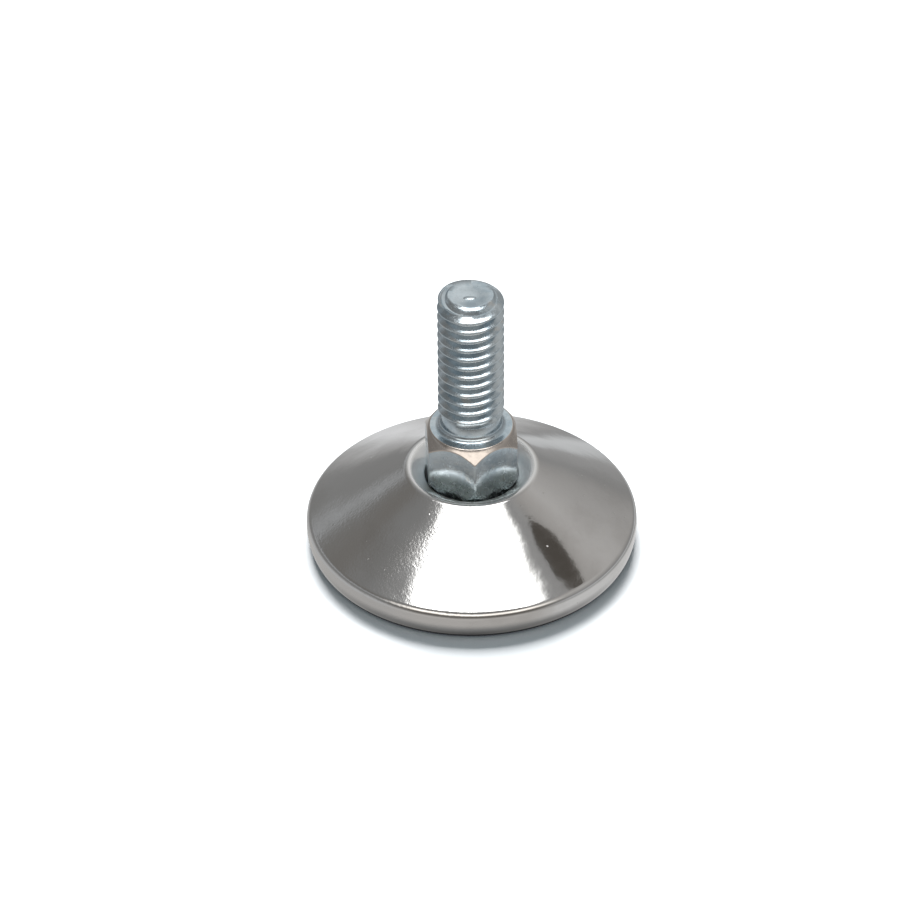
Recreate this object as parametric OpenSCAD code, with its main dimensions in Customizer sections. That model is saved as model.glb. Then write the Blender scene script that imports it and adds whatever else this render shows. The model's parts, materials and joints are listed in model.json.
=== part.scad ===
// Swivel leveling foot: a threaded stud with a hexagon and a ball shoulder, held in a drawn steel
// base that stands on a moulded pad. The origin is the middle of the pad's underside, +Z is up
// along the stud. Sizes are in millimetres and angles in degrees.

/* [Stem] */
// Outside diameter of the thread, measured over the crests
stem_d = 9.46; // [7.8:0.01:11.4]
// Length of the stem above the hexagon
stem_len = 22.4; // [14:0.1:60]
// Distance from one thread crest to the next
pitch = 1.5875; // [1.3:0.0005:2.2]
// Depth of the thread
thread_depth = 0.97; // [0.5:0.01:1.1]
// Width of the flat along each thread crest
crest_w = 0.22; // [0.1:0.01:0.35]
// Width of the flat at each thread root
root_w = 0.36; // [0.1:0.01:0.5]
// Height of the stretch above the hexagon that carries no thread
neck_len = 1.9; // [1.4:0.1:6]
// Radius of the fillet where the neck meets the hexagon
neck_fillet = 0.9; // [0.2:0.1:1.1]
// Width of the chamfer at the stem's tip, measured outwards
tip_chamfer_w = 0.5; // [0.3:0.05:1]
// Height of the chamfer at the stem's tip
tip_chamfer_h = 0.46; // [0.3:0.02:0.9]
// Height of the plain stretch between that chamfer and the first crest
tip_land = 0.5; // [0.1:0.02:1]

/* [Hexagon] */
// Width across the flats of the hexagon
hex_af = 12.7; // [12:0.1:16]
// Height of the hexagon above the ball's centre
hex_h = 5.35; // [4:0.05:14]
// Height of the chamfer at the hexagon's top corners
hex_chamfer_h = 1.9; // [0.5:0.1:2.5]
// How far the chamfer leaves the top face short of the flats
hex_chamfer_in = 0.35; // [0.1:0.05:0.8]
// Turn of the hexagon about the stem, from a corner facing the front
hex_turn = 3.7; // [0:0.1:60]

/* [Ball joint] */
// How far the ball under the hexagon stands out beyond the hexagon's corners
ball_skin = 0.12; // [0.06:0.01:0.5]
// Running clearance between the ball, the base and the two washers
swivel_gap = 0.08; // [0.04:0.01:0.1]
// How far the stud tilts from upright in any direction
tilt_max = 10; // [4:0.5:11]
// Room left beyond that tilt round the shank
tilt_room = 0.15; // [0.1:0.05:0.3]
// Diameter of the shank that passes through the base
shank_d = 7.2; // [6:0.1:7.6]

/* [Base] */
// Outside diameter of the base
base_d = 47.4; // [39:0.1:80]
// Sheet thickness of the base
sheet_t = 1; // [0.7:0.05:1.2]
// How far inside the ball's radius the seat ends and its flare begins
seat_in = 0.7; // [0.5:0.05:0.9]
// Width of the flare between the seat and the crown
flare_w = 2.3; // [1.9:0.05:3.2]
// How far the crown's corner stays below the ball's centre
crown_drop = 1.77; // [1:0.01:2.4]
// Height at which the cone would meet the upright rim
shoulder_z = 4.3; // [3.6:0.05:6]
// Outside bend radius of the sheet at the crown
crown_bend = 1.25; // [1.25:0.05:1.6]
// Outside bend radius of the sheet at the rim's shoulder
shoulder_bend = 1.3; // [1.25:0.05:1.6]
// Radius on which the rim's lower edge rolls inwards
lip_bend = 4; // [3.4:0.1:8]
// Height of the stretch of rim that rolls inwards
lip_h = 2; // [1.6:0.1:2.2]

/* [Washers] */
// Thickness of the plastic washer under the seat
glide_t = 0.7; // [0.4:0.05:1.2]
// Thickness of the steel washer that holds the stud
keeper_t = 1.2; // [0.8:0.05:1.8]
// Angle left between a tilted washer's rim and the flare of the base
rim_room = 4; // [3:0.5:6]
// Width of the shoulder between the shank and the spigot
spigot_step = 0.45; // [0.2:0.05:0.7]
// Clearance round the spigot and at the clenched end
spigot_gap = 0.05; // [0.02:0.01:0.1]
// How far the clenched end spreads beyond the spigot
clench_lip = 2.05; // [1:0.05:2.5]
// Thickness of the clenched end
clench_t = 0.9; // [0.6:0.05:1.4]
// How much the clenching tool flattens the middle of that end
clench_flat = 0.1; // [0.05:0.01:0.3]

/* [Pad] */
// Thickness of the pad under the clenched end
pad_web = 2.9; // [1.6:0.05:3.5]
// Room between the clenched end and the hollow in the pad
pad_hollow_gap = 0.45; // [0.3:0.05:0.8]
// How far the pad's upper face stays below the rim's shoulder
pad_top_room = 1; // [0.8:0.05:1.4]
// How far the pad holds the rim off the floor
pad_stand = 0.6; // [0.5:0.05:1]
// How far the pad's foot stays inside the rim's lower edge
pad_inset = 0.2; // [0.1:0.05:0.6]
// Clearance between the pad and the sheet round it
pad_gap = 0.12; // [0.05:0.01:0.2]
// Radius of the innermost groove under the pad
groove_r = 9; // [7:0.5:10]
// Distance from one groove to the next
groove_step = 4.5; // [3:0.1:4.8]
// Number of grooves under the pad
groove_count = 3; // [1:1:3]
// Width of each groove
groove_w = 1.4; // [0.6:0.1:2]
// Depth of each groove
groove_depth = 0.7; // [0.3:0.1:1]

/* [Hidden] */
$fn = 96;

// Steps along each rounded bend of an outline
bend_steps = 8;
// Width of the small chamfer round the pad's edges
pad_edge = 0.4;
// Overlap that joins the solids of one piece
weld = 0.2;

stem_r = stem_d / 2;
shank_r = shank_d / 2;
spigot_r = shank_r - spigot_step;
clench_r = spigot_r + clench_lip;
base_r = base_d / 2;
corner_r = hex_af / 2 / cos(30);

// Ball surfaces, from the ball outwards, all about one centre
ball_r = corner_r + ball_skin;
seat_r = ball_r + swivel_gap;
cup_r = seat_r + sheet_t;
glide_r0 = cup_r + swivel_gap;
glide_r1 = glide_r0 + glide_t;
keeper_r0 = glide_r1 + swivel_gap;
keeper_r1 = keeper_r0 + keeper_t;
clench_r0 = keeper_r1 + spigot_gap;
clench_r1 = clench_r0 + clench_t;
hollow_r = clench_r1 + pad_hollow_gap;

// Heights above the floor: the stack of pad, clenched end, washers and seat carries the ball
ball_z = pad_web + hollow_r;
hex_top = ball_z + hex_h;
stem_top = hex_top + stem_len;

// Depth below the ball's centre at which a ball surface has a given radius
function ball_drop(sphere_r, r) = sqrt(sphere_r * sphere_r - r * r);

// Least bore that lets a tilted shank through a ball surface of a given radius
function tilt_bore(sphere_r, tilt) =
    shank_r / cos(tilt) + ball_drop(sphere_r, shank_r) * tan(tilt) + tilt_room;

// The stud tilts about two crossed axes, and the plastic washer follows one of them
half_tilt = tilt_max / sqrt(2);
hole_r = tilt_bore(cup_r, tilt_max);
glide_bore_r = tilt_bore(glide_r1, half_tilt);

// Rims of the washers, which stay clear of the flare when they tilt
seat_edge_r = ball_r - seat_in;
seat_angle = asin(seat_edge_r / seat_r);
glide_rim_r = glide_r0 * sin(seat_angle - half_tilt - rim_room);
keeper_rim_r = keeper_r0 * sin(seat_angle - tilt_max - rim_room);

// Helpers for outlines with rounded bends
function unit(v) = v / norm(v);
function heading(v) = atan2(v[1], v[0]);
function reversed(list) = [for (i = [len(list) - 1:-1:0]) list[i]];

// Centre of a bend of radius r between two straight stretches that meet at b
function bend_centre(a, b, c, r) =
    let (u = unit(a - b), w = unit(c - b), half = acos(u * w) / 2)
    b + unit(u + w) * r / sin(half);

function arc(centre, r, a0, a1) =
    [for (i = [0:bend_steps])
        let (a = a0 + (a1 - a0) * i / bend_steps)
        centre + r * [cos(a), sin(a)]];

// Corners of the sheet's outer face, if its bends were sharp
seat_edge = [seat_edge_r, ball_z - ball_drop(seat_r, seat_edge_r)];
crown_corner = [seat_edge_r + flare_w, ball_z - crown_drop];
shoulder_corner = [base_r, shoulder_z];
rim_foot = [base_r, 0];

flare_normal = heading(crown_corner - seat_edge) + 90;
cone_normal = heading(shoulder_corner - crown_corner) + 90;
crown_centre = bend_centre(seat_edge, crown_corner, shoulder_corner, crown_bend);
shoulder_centre = bend_centre(crown_corner, shoulder_corner, rim_foot, shoulder_bend);
lip_centre = [base_r - lip_bend, pad_stand + lip_h];
lip_angle = asin(lip_h / lip_bend);

// One face of the sheet, set in from the outer face by a given depth
function sheet_face(depth) = concat(
    [seat_edge - depth * [cos(flare_normal), sin(flare_normal)]],
    arc(crown_centre, crown_bend - depth, flare_normal, cone_normal),
    arc(shoulder_centre, shoulder_bend - depth, cone_normal, 0),
    arc(lip_centre, lip_bend - depth, 0, -lip_angle)
);

// Flare, cone, rim and rolled lip of the base, as one sheet
module sheet_ring() {
    rotate_extrude()
        polygon(concat(sheet_face(0), reversed(sheet_face(sheet_t))));
}

// Bowl that the ball sits in
module seat_cup() {
    difference() {
        translate([0, 0, ball_z])
            sphere(r = cup_r);
        translate([0, 0, seat_edge[1]])
            cylinder(r = cup_r + weld, h = 2 * cup_r);
    }
}

module base_shell() {
    color("lightgray")
        difference() {
            union() {
                sheet_ring();
                seat_cup();
            }
            cylinder(r = hole_r, h = ball_z);
            translate([0, 0, ball_z])
                sphere(r = seat_r);
        }
}

// Pad outline on one side: a foot under the rim, a waist inside the lip and a bead above it
foot_r = lip_centre[0] + lip_bend * cos(lip_angle) - pad_inset;
foot_top = pad_stand - pad_gap;
waist_r = lip_centre[0] + (lip_bend - sheet_t) * cos(lip_angle) - pad_gap;
bead_z = lip_centre[1] - (lip_bend - sheet_t) * sin(lip_angle) + pad_edge;
bead_r = waist_r + pad_edge / 2;
pad_top = shoulder_z - pad_top_room;
pad_outline = [
    [0, 0],
    [foot_r - pad_edge, 0],
    [foot_r, pad_edge],
    [foot_r, foot_top],
    [waist_r, foot_top],
    [waist_r, bead_z],
    [bead_r, bead_z + pad_edge],
    [bead_r, pad_top - 2 * pad_edge],
    [bead_r - 3 * pad_edge, pad_top],
    [0, pad_top]
];

// Ring groove in the pad's underside
module pad_groove(r) {
    rotate_extrude()
        translate([r - groove_w / 2, -weld])
            square([groove_w, groove_depth + weld]);
}

module base_pad() {
    color("dimgray")
        difference() {
            rotate_extrude()
                polygon(pad_outline);
            translate([0, 0, ball_z])
                sphere(r = hollow_r);
            for (i = [0:groove_count - 1])
                pad_groove(groove_r + i * groove_step);
        }
}

// Washer whose two faces are ball surfaces about the ball's centre
module ball_washer(inner_r, outer_r, bore_r, rim_r) {
    difference() {
        intersection() {
            translate([0, 0, ball_z])
                sphere(r = outer_r);
            cylinder(r = rim_r, h = ball_z - inner_r / 2);
        }
        translate([0, 0, ball_z])
            sphere(r = inner_r);
        cylinder(r = bore_r, h = ball_z);
    }
}

module glide_washer() {
    color("ivory")
        ball_washer(glide_r0, glide_r1, glide_bore_r, glide_rim_r);
}

module keeper_washer() {
    color("silver")
        ball_washer(keeper_r0, keeper_r1, spigot_r + spigot_gap, keeper_rim_r);
}

// Thread as rings of the same pitch, depth and crest as the real helix
neck_r = stem_r - thread_depth / 2;
root_r = stem_r - thread_depth;
first_crest_z = stem_top - tip_chamfer_h - tip_land;
ring_count = floor((first_crest_z - hex_top - neck_len) / pitch);
last_crest_z = first_crest_z - ring_count * pitch;
flank_h = (pitch - crest_w - root_w) / 2;

// One ring: the underside of crest i, the root below it and the top of the next crest
function thread_ring(i) =
    let (crest_z = first_crest_z - i * pitch)
    [
        [stem_r, crest_z - crest_w / 2],
        [root_r, crest_z - crest_w / 2 - flank_h],
        [root_r, crest_z - pitch + crest_w / 2 + flank_h],
        [stem_r, crest_z - pitch + crest_w / 2]
    ];

// Hexagon's chamfer and the fillet that has to fit on the face inside it
top_face_r = hex_af / 2 - hex_chamfer_in;
fillet_r = min(neck_fillet, top_face_r - neck_r - weld);
fillet_centre = [neck_r + fillet_r, hex_top + fillet_r];

stem_outline = concat(
    [
        [0, stem_top],
        [stem_r - tip_chamfer_w, stem_top],
        [stem_r, stem_top - tip_chamfer_h]
    ],
    [for (i = [0:ring_count - 1]) each thread_ring(i)],
    [
        [stem_r, last_crest_z - crest_w / 2],
        [neck_r, last_crest_z - crest_w / 2 - flank_h / 2]
    ],
    arc(fillet_centre, fillet_r, 180, 270),
    [
        [neck_r + fillet_r, hex_top - weld],
        [0, hex_top - weld]
    ]
);

module stem() {
    rotate_extrude()
        polygon(stem_outline);
}

// Hexagon with its top corners turned down to a cone and its underside rounded to a ball
chamfer_slope = hex_chamfer_h / (corner_r - top_face_r);
collar_r = ball_r + weld;
module hexagon() {
    ball_low = ball_z - ball_drop(ball_r, shank_r);
    intersection() {
        translate([0, 0, ball_low])
            rotate([0, 0, hex_turn - 90])
                cylinder(r = corner_r, h = hex_top - ball_low, $fn = 6);
        union() {
            translate([0, 0, ball_z])
                sphere(r = ball_r);
            rotate_extrude()
                polygon([
                    [0, ball_z],
                    [collar_r, ball_z],
                    [collar_r, hex_top - chamfer_slope * (collar_r - top_face_r)],
                    [top_face_r, hex_top],
                    [0, hex_top]
                ]);
        }
    }
}

// Disc on the end of the spigot, domed about the ball's centre by the clenching
module clenched_end() {
    difference() {
        intersection() {
            translate([0, 0, ball_z])
                sphere(r = clench_r1);
            translate([0, 0, ball_z - clench_r1 + clench_flat])
                cylinder(r = clench_r, h = clench_r0);
        }
        translate([0, 0, ball_z])
            sphere(r = clench_r0);
    }
}

// Shank, spigot and clenched end below the ball
module tail() {
    shoulder_low = ball_z - ball_drop(keeper_r0, shank_r) + spigot_gap;
    clench_mid = ball_z - clench_r0 - clench_t / 2;
    translate([0, 0, shoulder_low])
        cylinder(r = shank_r, h = ball_z - shoulder_low);
    translate([0, 0, clench_mid])
        cylinder(r = spigot_r, h = ball_z - clench_mid);
    clenched_end();
}

module threaded_stud() {
    color("lightsteelblue")
        union() {
            stem();
            hexagon();
            tail();
        }
}

base_shell();
base_pad();
glide_washer();
keeper_washer();
threaded_stud();
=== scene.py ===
"""Looks of a swivel leveling foot: a zinc plated threaded stud with a hexagon and a ball shoulder,
held in a bright drawn steel base that stands on a black rubber pad.

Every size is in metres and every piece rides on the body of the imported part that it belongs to.
"""

import json
import logging
import math
from dataclasses import dataclass
from enum import Enum
from typing import Mapping, Optional, Sequence, Tuple, Union

import bpy
from mathutils import Matrix, Vector


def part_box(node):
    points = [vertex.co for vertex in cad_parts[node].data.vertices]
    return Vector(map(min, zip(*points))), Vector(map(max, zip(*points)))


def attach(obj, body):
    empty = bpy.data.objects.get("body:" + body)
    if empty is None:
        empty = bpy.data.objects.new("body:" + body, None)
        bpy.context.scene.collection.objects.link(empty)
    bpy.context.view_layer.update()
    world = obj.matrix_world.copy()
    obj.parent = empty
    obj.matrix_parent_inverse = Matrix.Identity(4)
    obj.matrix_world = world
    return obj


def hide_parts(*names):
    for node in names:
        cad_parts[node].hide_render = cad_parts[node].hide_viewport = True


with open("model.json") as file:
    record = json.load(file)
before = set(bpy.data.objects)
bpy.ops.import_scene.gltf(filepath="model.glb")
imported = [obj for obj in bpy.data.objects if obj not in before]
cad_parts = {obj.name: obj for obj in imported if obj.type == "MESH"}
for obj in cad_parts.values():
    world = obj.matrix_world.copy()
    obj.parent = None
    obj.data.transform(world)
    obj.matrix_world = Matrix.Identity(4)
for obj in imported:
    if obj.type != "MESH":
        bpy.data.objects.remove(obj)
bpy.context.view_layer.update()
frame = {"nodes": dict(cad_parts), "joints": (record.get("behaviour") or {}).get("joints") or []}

log = logging.getLogger("leveling_foot")

Point = Tuple[float, float]
Place = Tuple[float, float, float]
Colour = Tuple[float, float, float]
Number = Union[float, "Wire"]
Stops = Sequence[Tuple[float, Colour]]
Settings = Mapping[str, object]
Inputs = Mapping[Union[str, int], object]

MM = 0.001
FULL_TURN = 2.0 * math.pi

# The joints' height is rounded to a hundredth of a millimetre. The ball's centre is this much above it.
SWIVEL_ROUNDING = 0.0023 * MM


class Body(Enum):
    """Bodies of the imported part."""

    BASE = "base"
    GLIDE = "glide"
    KEEPER = "keeper"
    STUD = "stud"


class Slot(Enum):
    """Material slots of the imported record."""

    POLISHED_STEEL = "polished_steel"
    BLACK_RUBBER = "black_rubber"
    NATURAL_NYLON = "natural_nylon"
    WASHER_STEEL = "washer_steel"
    ZINC_PLATE = "zinc_plate"


class Cut(Enum):
    """Which side of a cutting plane is thrown away."""

    BELOW = "below"
    ABOVE = "above"


# ---------------------------------------------------------------------------------------------
# Outlines and directions
# ---------------------------------------------------------------------------------------------


def mm(*points: Point) -> Tuple[Point, ...]:
    """Returns points given in millimetres as points in metres."""
    return tuple((r * MM, z * MM) for r, z in points)


def arc(centre: Point, radius: float, start: float, end: float, steps: int) -> list[Point]:
    """Gives points along a circular arc.

    Args:
        centre: Middle of the arc, as radius and height.
        radius: Radius of the arc.
        start: First angle in degrees, from outwards towards up.
        end: Last angle in degrees.
        steps: Number of stretches.

    Returns:
        The points, both ends among them.
    """
    points = []
    for i in range(steps + 1):
        a = math.radians(start + (end - start) * i / steps)
        points.append((centre[0] + radius * math.cos(a), centre[1] + radius * math.sin(a)))
    return points


def stretch(a: Point, b: Point, steps: int, guard: float = 0.0) -> list[Point]:
    """Gives the inner points of a straight line, with one more close to each end.

    Args:
        a: First end.
        b: Last end.
        steps: Number of even stretches.
        guard: Distance of the extra points from the ends, or 0 for none.

    Returns:
        The points between the ends.
    """
    span = math.dist(a, b)
    shares = [i / steps for i in range(1, steps)]
    if guard:
        shares = sorted(shares + [guard / span, 1.0 - guard / span])
    return [(a[0] + (b[0] - a[0]) * t, a[1] + (b[1] - a[1]) * t) for t in shares]


def ball_drop(ball: float, radius: float) -> float:
    """Returns how far below a ball's centre its surface has a given radius."""
    return math.sqrt(ball * ball - radius * radius)


def under_ball(ball: float, radius: float) -> float:
    """Returns the direction in degrees of a ball's lower surface at a radius."""
    return -math.degrees(math.acos(min(1.0, radius / ball)))


def towards(turn: float, height: float) -> Place:
    """Returns the unit vector in a direction.

    Args:
        turn: Compass direction in degrees, from +X towards +Y.
        height: Angle above level in degrees.

    Returns:
        The vector.
    """
    a, e = math.radians(turn), math.radians(height)
    return (math.cos(a) * math.cos(e), math.sin(a) * math.cos(e), math.sin(e))


# ---------------------------------------------------------------------------------------------
# Modelling bench
# ---------------------------------------------------------------------------------------------


class Bench:
    """Modelling steps that the pieces share, each made with Blender's own operators."""

    MERGE = 1e-7
    SEAM = 1e-6
    WELD = 1.5e-5

    @staticmethod
    def clear() -> None:
        """Leaves edit mode and deselects everything."""
        if bpy.context.mode != "OBJECT":
            bpy.ops.object.mode_set(mode="OBJECT")
        bpy.ops.object.select_all(action="DESELECT")

    @staticmethod
    def pick(*pieces: bpy.types.Object) -> None:
        """Selects these objects only and makes the first one active.

        Args:
            pieces: The objects.
        """
        Bench.clear()
        for piece in pieces:
            piece.select_set(True)
        bpy.context.view_layer.objects.active = pieces[0]

    @staticmethod
    def edit(piece: bpy.types.Object, select: bool = True) -> None:
        """Enters edit mode on one object.

        Args:
            piece: The object.
            select: Whether all of it is selected, or nothing.
        """
        Bench.pick(piece)
        bpy.ops.object.mode_set(mode="EDIT")
        bpy.ops.mesh.select_mode(type="VERT")
        bpy.ops.mesh.select_all(action="SELECT" if select else "DESELECT")

    @staticmethod
    def trace(name: str, outline: Sequence[Point]) -> bpy.types.Object:
        """Draws an outline in the plane of X and Z by extruding one vertex from point to point.

        Args:
            name: Name of the new object.
            outline: Points as radius and height.

        Returns:
            The object, whose mesh is a chain of edges.
        """
        Bench.clear()
        bpy.ops.mesh.primitive_plane_add(size=MM, location=(outline[0][0], 0.0, outline[0][1]))
        piece = bpy.context.active_object
        piece.name = name
        piece.data.name = name
        bpy.ops.object.transform_apply(location=True, rotation=True, scale=True)
        bpy.ops.object.mode_set(mode="EDIT")
        bpy.ops.mesh.select_mode(type="VERT")
        bpy.ops.mesh.select_all(action="SELECT")
        bpy.ops.mesh.merge(type="CENTER")
        for a, b in zip(outline, outline[1:]):
            bpy.ops.mesh.extrude_vertices_move(
                TRANSFORM_OT_translate={"value": (b[0] - a[0], 0.0, b[1] - a[1])}
            )
        bpy.ops.object.mode_set(mode="OBJECT")
        return piece

    @staticmethod
    def tidy(piece: bpy.types.Object, merge: float = MERGE) -> None:
        """Merges doubled vertices and turns every face outwards.

        Args:
            piece: The object.
            merge: Distance under which two vertices become one.
        """
        Bench.edit(piece)
        bpy.ops.mesh.remove_doubles(threshold=merge)
        bpy.ops.mesh.select_all(action="SELECT")
        bpy.ops.mesh.normals_make_consistent(inside=False)
        bpy.ops.object.mode_set(mode="OBJECT")

    @staticmethod
    def lathe(name: str, outline: Sequence[Point], steps: int) -> bpy.types.Object:
        """Turns a closed outline, or one that begins and ends on the axis, about Z.

        Args:
            name: Name of the new object.
            outline: Points as radius and height, the first one repeated at the end if closed.
            steps: Number of steps round the axis.

        Returns:
            The closed solid.
        """
        piece = Bench.trace(name, outline)
        Bench.edit(piece)
        bpy.ops.mesh.spin(
            steps=steps,
            dupli=False,
            angle=FULL_TURN,
            use_auto_merge=False,
            center=(0.0, 0.0, 0.0),
            axis=(0.0, 0.0, 1.0),
        )
        bpy.ops.object.mode_set(mode="OBJECT")
        Bench.tidy(piece)
        return piece

    @staticmethod
    def bisect(piece: bpy.types.Object, height: float, cut: Cut) -> None:
        """Cuts a piece level and fills the cut.

        Args:
            piece: The object.
            height: Height of the cut.
            cut: Which side is thrown away.
        """
        Bench.edit(piece)
        bpy.ops.mesh.bisect(
            plane_co=(0.0, 0.0, height),
            plane_no=(0.0, 0.0, 1.0),
            use_fill=True,
            clear_inner=cut is Cut.BELOW,
            clear_outer=cut is Cut.ABOVE,
            threshold=Bench.MERGE,
        )
        bpy.ops.object.mode_set(mode="OBJECT")

    @staticmethod
    def apply(piece: bpy.types.Object, kind: str, **settings: object) -> None:
        """Adds a modifier to a piece and applies it at once.

        Args:
            piece: The object.
            kind: Type of the modifier.
            settings: Properties of the modifier.
        """
        Bench.pick(piece)
        modifier = piece.modifiers.new(kind.title(), kind)
        for key, value in settings.items():
            setattr(modifier, key, value)
        bpy.ops.object.modifier_apply(modifier=modifier.name)

    @staticmethod
    def combine(piece: bpy.types.Object, other: bpy.types.Object, operation: str) -> None:
        """Combines a piece with another solid, which is used up.

        Args:
            piece: The object that is kept.
            other: The solid that is joined, cut away or intersected.
            operation: "UNION", "DIFFERENCE" or "INTERSECT".
        """
        Bench.apply(piece, "BOOLEAN", object=other, operation=operation, solver="EXACT")
        Bench.pick(other)
        bpy.ops.object.delete()

    @staticmethod
    def smooth(piece: bpy.types.Object, degrees: float) -> None:
        """Shades a piece smooth, with sharp edges only above an angle."""
        Bench.pick(piece)
        bpy.ops.object.shade_smooth_by_angle(angle=math.radians(degrees))

    @staticmethod
    def report(piece: bpy.types.Object) -> None:
        """Logs a piece's size in triangles and whether its mesh is closed.

        Args:
            piece: The object.
        """
        Bench.edit(piece, select=False)
        bpy.ops.mesh.select_non_manifold()
        bpy.ops.object.mode_set(mode="OBJECT")
        loose = sum(v.select for v in piece.data.vertices)
        triangles = sum(len(p.vertices) - 2 for p in piece.data.polygons)
        log.info("%s: %d triangles, %d open vertices", piece.name, triangles, loose)
        Bench.clear()


# ---------------------------------------------------------------------------------------------
# Shader bench
# ---------------------------------------------------------------------------------------------


@dataclass(frozen=True)
class Lumps:
    """Soft noise: the size of its lumps, its levels of finer detail and how strong they are."""

    size: float
    detail: float = 3.0
    rough: float = 0.5


class Graph:
    """Adds nodes to one node tree."""

    MIX_SHARE, MIX_FIRST, MIX_SECOND, MIX_RESULT = 0, 6, 7, 2

    def __init__(self, tree: bpy.types.NodeTree) -> None:
        """Starts from an empty tree."""
        self.tree = tree
        tree.nodes.clear()

    def node(
        self,
        kind: str,
        settings: Optional[Settings] = None,
        inputs: Optional[Inputs] = None,
    ) -> bpy.types.Node:
        """Adds a node, sets it up and fills its sockets.

        Args:
            kind: Type of the node.
            settings: Properties of the node. The key "stops" gives a ramp's stops.
            inputs: Values or wires by socket name or number.

        Returns:
            The node.
        """
        node = self.tree.nodes.new(kind)
        for key, value in (settings or {}).items():
            if key == "stops":
                self._ramp(node, value)
            else:
                setattr(node, key, value)
        for key, value in (inputs or {}).items():
            if isinstance(value, Wire):
                self.tree.links.new(value.socket, node.inputs[key])
            else:
                node.inputs[key].default_value = value
        return node

    @staticmethod
    def _ramp(node: bpy.types.Node, stops: Stops) -> None:
        """Gives a colour ramp its stops.

        Args:
            node: The ramp's node.
            stops: Place from 0 to 1 and colour of each stop.
        """
        elements = node.color_ramp.elements
        while len(elements) < len(stops):
            elements.new(1.0)
        for element, (place, colour) in zip(elements, stops):
            element.position = place
            element.color = (*colour, 1.0)

    def wire(
        self,
        kind: str,
        output: Union[str, int] = 0,
        settings: Optional[Settings] = None,
        inputs: Optional[Inputs] = None,
    ) -> "Wire":
        """Adds a node and returns one of its outputs as a wire."""
        return Wire(self, self.node(kind, settings, inputs).outputs[output])

    def finish(self, shader: bpy.types.Node, kind: str = "ShaderNodeOutputMaterial") -> None:
        """Adds an output node and links a shader to it."""
        output = self.node(kind)
        self.tree.links.new(shader.outputs[0], output.inputs["Surface"])

    def shader(self, inputs: Inputs) -> bpy.types.Node:
        """Adds the shader node of a finish."""
        return self.node("ShaderNodeBsdfPrincipled", None, inputs)

    def place(self) -> "Wire":
        """Returns the surface point in the piece's own coordinates, in metres."""
        return self.wire("ShaderNodeTexCoord", "Object")

    def parts(self, where: "Wire") -> list["Wire"]:
        """Returns the X, Y and Z of a place or a direction."""
        node = self.node("ShaderNodeSeparateXYZ", None, {0: where})
        return [Wire(self, socket) for socket in node.outputs]

    def noise(self, where: "Wire", lumps: Lumps) -> "Wire":
        """Returns soft noise from 0 to 1.

        Args:
            where: Place that the noise is read at.
            lumps: Size and detail of the noise.

        Returns:
            The noise.
        """
        return self.wire(
            "ShaderNodeTexNoise",
            "Fac",
            {"noise_dimensions": "3D"},
            {
                "Vector": where,
                "Scale": 1.0 / lumps.size,
                "Detail": lumps.detail,
                "Roughness": lumps.rough,
            },
        )

    def ramp(self, value: "Wire", low: float, high: float, start: float = 0.0, end: float = 1.0) -> "Wire":
        """Returns a value mapped smoothly from one range to another.

        Args:
            value: The value.
            low: Value that gives the start.
            high: Value that gives the end.
            start: First end of the new range.
            end: Last end of the new range.

        Returns:
            The mapped value, held at the ends of the new range.
        """
        return self.wire(
            "ShaderNodeMapRange",
            "Result",
            {"interpolation_type": "SMOOTHSTEP"},
            {"Value": value, "From Min": low, "From Max": high, "To Min": start, "To Max": end},
        )

    def mix(self, share: Number, a: Union[Colour, "Wire"], b: Union[Colour, "Wire"]) -> "Wire":
        """Returns a colour between two colours.

        Args:
            share: 0 for the first colour, 1 for the second.
            a: First colour.
            b: Second colour.

        Returns:
            The colour.
        """
        node = self.tree.nodes.new("ShaderNodeMix")
        node.data_type = "RGBA"
        for key, value in ((self.MIX_SHARE, share), (self.MIX_FIRST, a), (self.MIX_SECOND, b)):
            if isinstance(value, Wire):
                self.tree.links.new(value.socket, node.inputs[key])
            elif isinstance(value, tuple):
                node.inputs[key].default_value = (*value, 1.0)
            else:
                node.inputs[key].default_value = value
        return Wire(self, node.outputs[self.MIX_RESULT])

    def ladder(self, place: "Wire", stops: Stops) -> "Wire":
        """Returns a colour that goes softly from stop to stop."""
        return self.wire("ShaderNodeValToRGB", "Color", {"stops": stops}, {"Fac": place})

    def add(self, a: "Wire", b: "Wire") -> "Wire":
        """Returns the sum of two colours."""
        return self.wire("ShaderNodeVectorMath", 0, {"operation": "ADD"}, {0: a, 1: b})

    def bump(self, height: "Wire", depth: float, below: Optional["Wire"] = None) -> "Wire":
        """Returns a surface direction with small relief.

        Args:
            height: Relief from 0 to 1.
            depth: Height of the relief in metres.
            below: Relief that this one lies on.

        Returns:
            The direction for a shader's Normal socket.
        """
        inputs = {"Height": height, "Distance": depth, "Strength": 1.0}
        if below is not None:
            inputs["Normal"] = below
        return self.wire("ShaderNodeBump", "Normal", None, inputs)

    def dot(self, where: "Wire", direction: Place) -> "Wire":
        """Returns the dot product of a vector and a fixed direction."""
        return self.wire(
            "ShaderNodeVectorMath", "Value", {"operation": "DOT_PRODUCT"}, {0: where, 1: direction}
        )


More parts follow.
